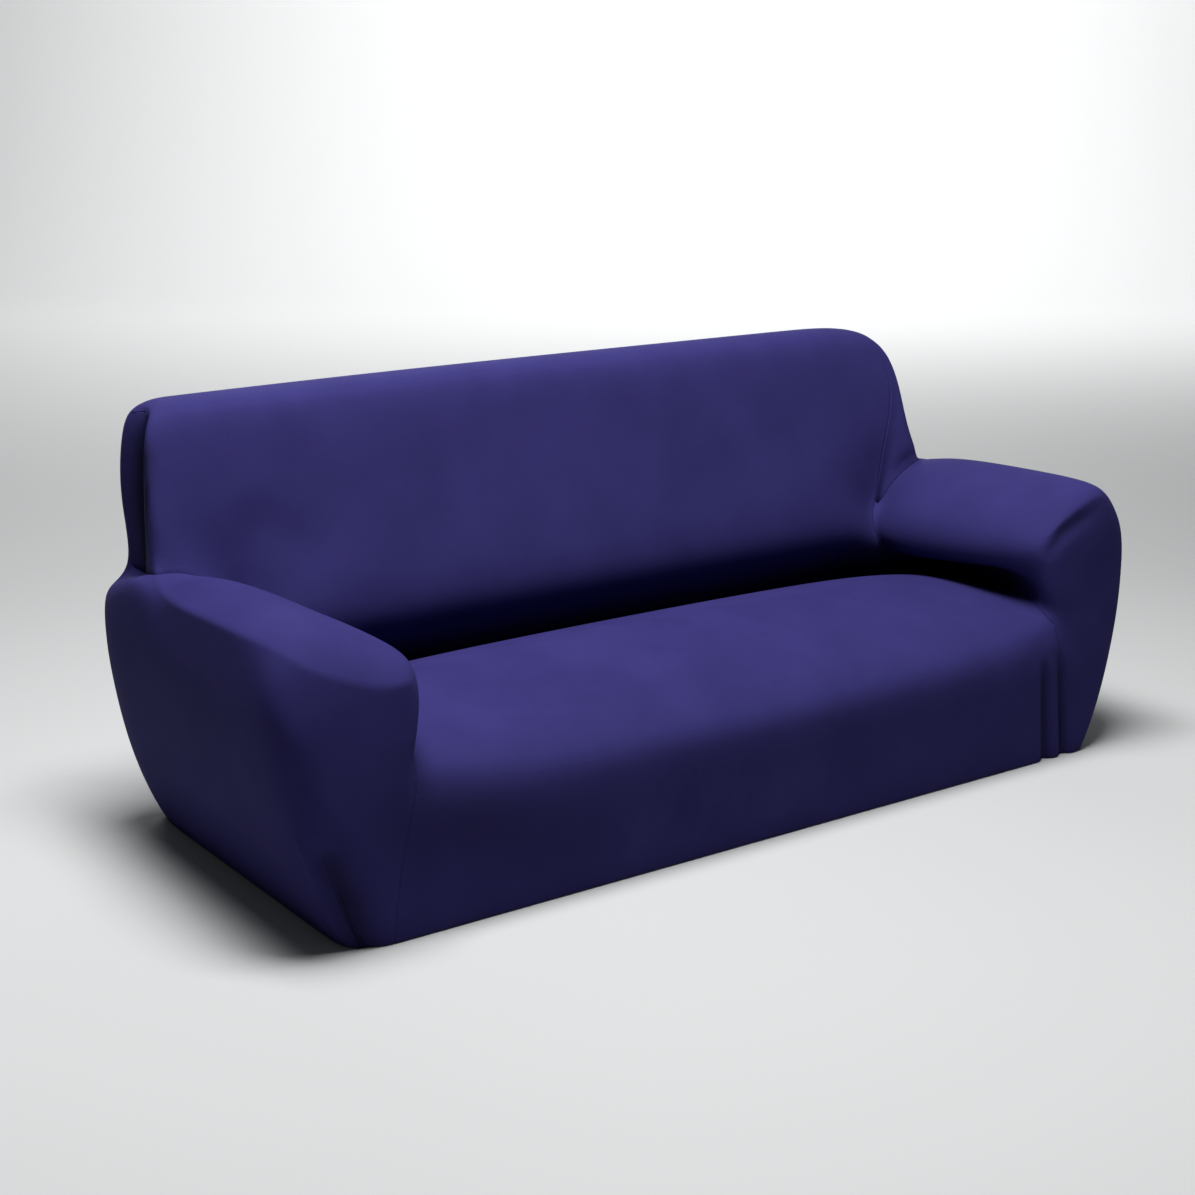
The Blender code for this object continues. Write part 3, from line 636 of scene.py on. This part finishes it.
def turn_hem(work):
    """Turn a strip of cloth under along the open edge."""
    rim = []
    away = {}
    for edge in work.edges:
        if len(edge.link_faces) != 1:
            continue
        loop = edge.link_loops[0]
        a, b = loop.vert, loop.link_loop_next.vert
        rim.append((a, b, edge.link_faces[0].material_index))
        span = b.co - a.co
        outward = Vector((span.y, -span.x, 0.0)).normalized()
        for end in (a, b):
            away[end] = away.get(end, Vector()) + outward
    away = {end: outward.normalized() for end, outward in away.items()}
    for _ in range(HEM_PASSES):
        before = dict(away)
        for a, b, _ in rim:
            away[a] = away[a] + before[b]
            away[b] = away[b] + before[a]
        away = {end: outward.normalized() for end, outward in away.items()}
    last = {end: end for end in away}
    for end in away:
        end.co.z = HEM_ROLL
    for inset, rise in HEM_FOLD:
        row = {}
        for end, outward in away.items():
            inside = end.co - outward * inset
            row[end] = work.verts.new((inside.x, inside.y, rise))
        for a, b, panel in rim:
            face = work.faces.new((last[b], last[a], row[a], row[b]))
            face.material_index = panel
        last = row


def mark_seam(work, index):
    """Mark how near each point lies to the seams of a panel, and return those on them."""
    near = work.verts.layers.float.new("seam")
    seam = set()
    for vertex in work.verts:
        panels = {face.material_index for face in vertex.link_faces}
        if index in panels and len(panels) > 1:
            seam.add(vertex)
    ring, reached = set(seam), set(seam)
    for step in range(NEAR_SEAM):
        for vertex in ring:
            vertex[near] = 1.0 - step / NEAR_SEAM
        ring = {edge.other_vert(v) for v in ring for edge in v.link_edges} - reached
        reached |= ring
    return seam


def roll_seam(work, normals):
    """Roll the edges of a panel in, and sink them where they are sewn."""
    before = set(work.faces)
    bmesh.ops.inset_region(
        work, faces=list(work.faces), thickness=SEAM_ROLL, depth=0.0,
        use_boundary=True, use_even_offset=True, use_interpolate=True,
    )
    inward = {vertex: Vector() for vertex in normals}
    for face in work.faces:
        if face in before:
            continue
        middle = face.calc_center_median()
        for vertex in face.verts:
            if vertex in inward:
                inward[vertex] += (middle - vertex.co).normalized()
    for vertex, normal in normals.items():
        pull = inward[vertex]
        pull -= normal * pull.dot(normal)
        vertex.co += pull.normalized() * (0.5 * SEAM_GAP) - normal * SEAM_SINK


def sewn_panel(whole, name):
    """One panel of the skin as a thin sheet, its edges rolled in at the seams."""
    index = PANELS.index(name)
    work = whole.copy()
    seam = mark_seam(work, index)
    normals = {vertex: vertex.normal.copy() for vertex in seam}
    others = [face for face in work.faces if face.material_index != index]
    bmesh.ops.delete(work, geom=others, context="FACES")
    roll_seam(work, {vertex: normal for vertex, normal in normals.items() if vertex.is_valid})
    for face in work.faces:
        face.material_index = 0
        face.smooth = True
    for edge in work.edges:
        edge.smooth = len(edge.link_faces) != 1
    for vertex in work.verts:
        vertex.co.y -= CENTRE_Y
    mesh = bpy.data.meshes.new(name + "_cloth")
    work.to_mesh(mesh)
    work.free()
    piece = bpy.data.objects.new(name + "_cloth", mesh)
    bpy.context.scene.collection.objects.link(piece)
    thick = piece.modifiers.new("cloth", "SOLIDIFY")
    thick.thickness = CLOTH
    thick.offset = -1.0
    return piece


# ------------------------------------------------------------------ materials
FABRIC_DARK = (0.0205, 0.0178, 0.0830, 1.0)
FABRIC_LIGHT = (0.0265, 0.0232, 0.1050, 1.0)
# Painted shade: the colour that deep folds and corners are darkened towards.
FABRIC_PAINTED_SHADE = (0.0050, 0.0052, 0.0085, 1.0)       # in deep folds and corners
MOTTLE_RANGE = (0.32, 0.68)         # between these the cloth goes from dark to light
SHEEN_TINT = (0.50, 0.46, 0.90, 1.0)
WALE = 0.0016             # distance between the knit's ribs
COURSE = 0.0019           # distance between its rows of stitches
STITCH_BEND = 1.6         # how far a row of stitches bows from rib to rib
RIB_SHARE, ROW_SHARE = 0.6, 0.25
# Noises: how many to a metre, and their detail.
SLUB, CLOUD, PUCKER = (420.0, 1.0), (7.0, 3.0), (55.0, 1.0)
CLOUD_SHARE, SLUB_SHARE = 0.6, 0.4
STITCH_HEIGHT, SLUB_HEIGHT, PUCKER_HEIGHT = 0.00010, 0.00012, 0.0016
BUMP_STRENGTH = 0.7


class Nodes:
    """Short calls for building a node tree."""

    def __init__(self, material):
        material.use_nodes = True
        self.tree = material.node_tree
        self.shader = self.tree.nodes["Principled BSDF"]

    def add(self, kind, **settings):
        node = self.tree.nodes.new(kind)
        for name, value in settings.items():
            setattr(node, name, value)
        return node

    def wire(self, out, into):
        self.tree.links.new(out, into)

    def shade(self, **settings):
        """Set the shader's own sockets."""
        for name, value in settings.items():
            self.shader.inputs[name.replace("_", " ")].default_value = value

    def math(self, operation, *values):
        node = self.add("ShaderNodeMath", operation=operation)
        for socket, value in zip(node.inputs, values):
            if isinstance(value, (int, float)):
                socket.default_value = value
            else:
                self.wire(value, socket)
        return node.outputs[0]

    def times(self, a, b):
        return self.math("MULTIPLY", a, b)

    def plus(self, a, b):
        return self.math("ADD", a, b)

    def noise(self, vector, scale, detail):
        node = self.add("ShaderNodeTexNoise")
        self.wire(vector, node.inputs["Vector"])
        node.inputs["Scale"].default_value = scale
        node.inputs["Detail"].default_value = detail
        return node.outputs["Fac"]

    def attribute(self, name):
        return self.add("ShaderNodeAttribute", attribute_name=name).outputs["Fac"]


def knit(name):
    """Dark indigo jersey: fine ribs of stitches, a soft sheen, slight mottling, and shade
    painted into deep folds and corners.
    """
    material = bpy.data.materials.new(name)
    nodes = Nodes(material)
    shader = nodes.shader
    place = nodes.add("ShaderNodeTexCoord").outputs["Object"]
    split = nodes.add("ShaderNodeSeparateXYZ")
    nodes.wire(nodes.add("ShaderNodeUVMap", uv_map="grain").outputs["UV"], split.inputs[0])
    u, v = split.outputs[0], split.outputs[1]
    # ribs and rows of stitches
    rib = nodes.math("ABSOLUTE", nodes.math("SINE", nodes.times(u, 2 * math.pi / WALE)))
    bowed = nodes.plus(nodes.times(v, 2 * math.pi / COURSE), nodes.times(rib, STITCH_BEND))
    row = nodes.math("SINE", bowed)
    stitch = nodes.plus(nodes.times(rib, RIB_SHARE), nodes.times(row, ROW_SHARE))
    # slubs, mottling, and puckers beside the seams
    slub = nodes.noise(place, *SLUB)
    cloud = nodes.noise(place, *CLOUD)
    pucker = nodes.times(nodes.noise(place, *PUCKER), nodes.attribute("seam"))
    height = nodes.plus(nodes.times(stitch, STITCH_HEIGHT), nodes.times(slub, SLUB_HEIGHT))
    height = nodes.plus(height, nodes.times(pucker, PUCKER_HEIGHT))
    bump = nodes.add("ShaderNodeBump")
    bump.inputs["Strength"].default_value = BUMP_STRENGTH
    bump.inputs["Distance"].default_value = 1.0
    nodes.wire(height, bump.inputs["Height"])
    nodes.wire(bump.outputs[0], shader.inputs["Normal"])
    ramp = nodes.add("ShaderNodeValToRGB")
    tones = zip(ramp.color_ramp.elements, MOTTLE_RANGE, (FABRIC_DARK, FABRIC_LIGHT))
    for element, position, colour in tones:
        element.position = position
        element.color = colour
    mottle = nodes.plus(nodes.times(cloud, CLOUD_SHARE), nodes.times(slub, SLUB_SHARE))
    nodes.wire(mottle, ramp.inputs["Fac"])
    # painted shade: deep folds and corners are darkened towards a greyer, less blue colour
    mix = nodes.add("ShaderNodeMix", data_type="RGBA")
    nodes.wire(nodes.attribute("shade"), mix.inputs[0])
    nodes.wire(ramp.outputs[0], mix.inputs[6])
    mix.inputs[7].default_value = FABRIC_PAINTED_SHADE
    nodes.wire(mix.outputs[2], shader.inputs["Base Color"])
    nodes.shade(
        Roughness=0.62, Specular_IOR_Level=0.010,
        Sheen_Weight=0.015, Sheen_Roughness=0.42, Sheen_Tint=SHEEN_TINT,
    )
    return material


# ----------------------------------------------------------- floor and lights
FLOOR = (0.396, 0.400, 0.402, 1.0)
FLOOR_LEVEL = -0.0006
FLOOR_FRONT, FLOOR_BACK, FLOOR_HALF, WALL_HEIGHT, BEND = -9.0, 9.0, 14.0, 9.0, 3.5
BEND_STEPS = 16

LAMPS = (
    # name, place, aim, size, power
    ("top_light", (-0.60, -0.48, 4.6), (-0.1, -0.1, 0.3), (2.4, 1.3), 418.0),
    ("wall_light", (5.0, 5.5, 6.0), (8.0, 10.5, 0.5), (9.0, 3.0), 1350.0),
    ("rear_light", (1.2, 5.2, 3.6), (0.0, 0.9, 0.5), (3.5, 2.0), 60.0),
)
STUDIO_COLOUR, STUDIO_STRENGTH = (0.90, 1.0, 1.04, 1.0), 0.085

CAMERA_PLACE = (-2.50325, -3.3613, 1.5409)
CAMERA_YAW, CAMERA_PITCH = math.radians(35.35), math.radians(15.05)
CAMERA_LENS, CAMERA_SENSOR = 60.85, 36.0


def backdrop():
    """A pale floor that curves up into a wall, turned to face the camera."""
    profile = [(FLOOR_FRONT, FLOOR_LEVEL)]
    profile += [(FLOOR_BACK + BEND * math.sin(turn), BEND - BEND * math.cos(turn))
                for turn in np.linspace(0.0, math.pi / 2, BEND_STEPS)]
    profile.append((FLOOR_BACK + BEND, WALL_HEIGHT))
    work = bmesh.new()
    rows = [[work.verts.new((x, y, z)) for x in (-FLOOR_HALF, FLOOR_HALF)] for y, z in profile]
    for (a, b), (d, c) in zip(rows, rows[1:]):
        work.faces.new((a, b, c, d)).smooth = True
    mesh = bpy.data.meshes.new("floor")
    work.to_mesh(mesh)
    work.free()
    floor = bpy.data.objects.new("floor", mesh)
    floor.rotation_euler.z = -CAMERA_YAW
    material = bpy.data.materials.new("pale_floor")
    Nodes(material).shade(Base_Color=FLOOR, Roughness=0.9, Specular_IOR_Level=0.2)
    mesh.materials.append(material)
    bpy.context.scene.collection.objects.link(floor)


def lights():
    """Soft lamps above, at the wall and behind, and an even studio light."""
    for name, place, aim, size, power in LAMPS:
        data = bpy.data.lights.new(name, "AREA")
        data.shape = "RECTANGLE"
        data.size, data.size_y = size
        data.energy = power
        light = bpy.data.objects.new(name, data)
        light.location = place
        gaze = Vector(aim) - Vector(place)
        light.rotation_euler = gaze.to_track_quat("-Z", "Y").to_euler()
        bpy.context.scene.collection.objects.link(light)
    world = bpy.data.worlds.new("studio")
    world.use_nodes = True
    background = world.node_tree.nodes["Background"]
    background.inputs["Color"].default_value = STUDIO_COLOUR
    background.inputs["Strength"].default_value = STUDIO_STRENGTH
    bpy.context.scene.world = world


def camera():
    """The photo's viewing angle."""
    data = bpy.data.cameras.new("camera")
    data.sensor_width = CAMERA_SENSOR
    data.lens = CAMERA_LENS
    data.clip_end = 100.0
    level = math.cos(CAMERA_PITCH)
    gaze = Vector((
        math.sin(CAMERA_YAW) * level, math.cos(CAMERA_YAW) * level, -math.sin(CAMERA_PITCH),
    ))
    turn = gaze.to_track_quat("-Z", "Y").to_matrix().to_4x4()
    eye = bpy.data.objects.new("camera", data)
    eye.matrix_world = Matrix.Translation(CAMERA_PLACE) @ turn
    bpy.context.scene.collection.objects.link(eye)
    bpy.context.scene.camera = eye


# Width and length of the cloth that each panel is cut from, and its area.
CUT = {
    "body_panel": ((2.20, 2.66), 5.06),
    "arm_panel_left": ((1.22, 0.92), 0.93),
    "arm_panel_right": ((1.22, 0.92), 0.93),
    "back_end_left": ((0.10, 0.34), 0.031),
    "back_end_right": ((0.26, 0.39), 0.080),
}


def fine_skin():
    """The whole skin with its creases and hem, still in one piece."""
    cage = cover_cage()
    mesh = bpy.data.meshes.new("cage")
    cage.to_mesh(mesh)
    cage.free()
    mesh = rounded(mesh, FIRST_LEVELS)
    ease_creases(mesh)
    divide_strips(mesh)
    mesh = rounded(mesh, FINE_LEVELS)
    press_creases(mesh)
    whole = bmesh.new()
    whole.from_mesh(mesh)
    turn_hem(whole)
    whole.normal_update()
    return whole


def main():
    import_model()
    whole = fine_skin()
    fabric = knit("indigo_jersey")
    for name in PANELS:
        piece = sewn_panel(whole, name)
        piece.data.materials.append(fabric)
        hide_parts(name)
        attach(piece, "root")
        flat, area = CUT[name]
    backdrop()
    lights()
    camera()
    bpy.context.scene.view_settings.view_transform = "Standard"


main()
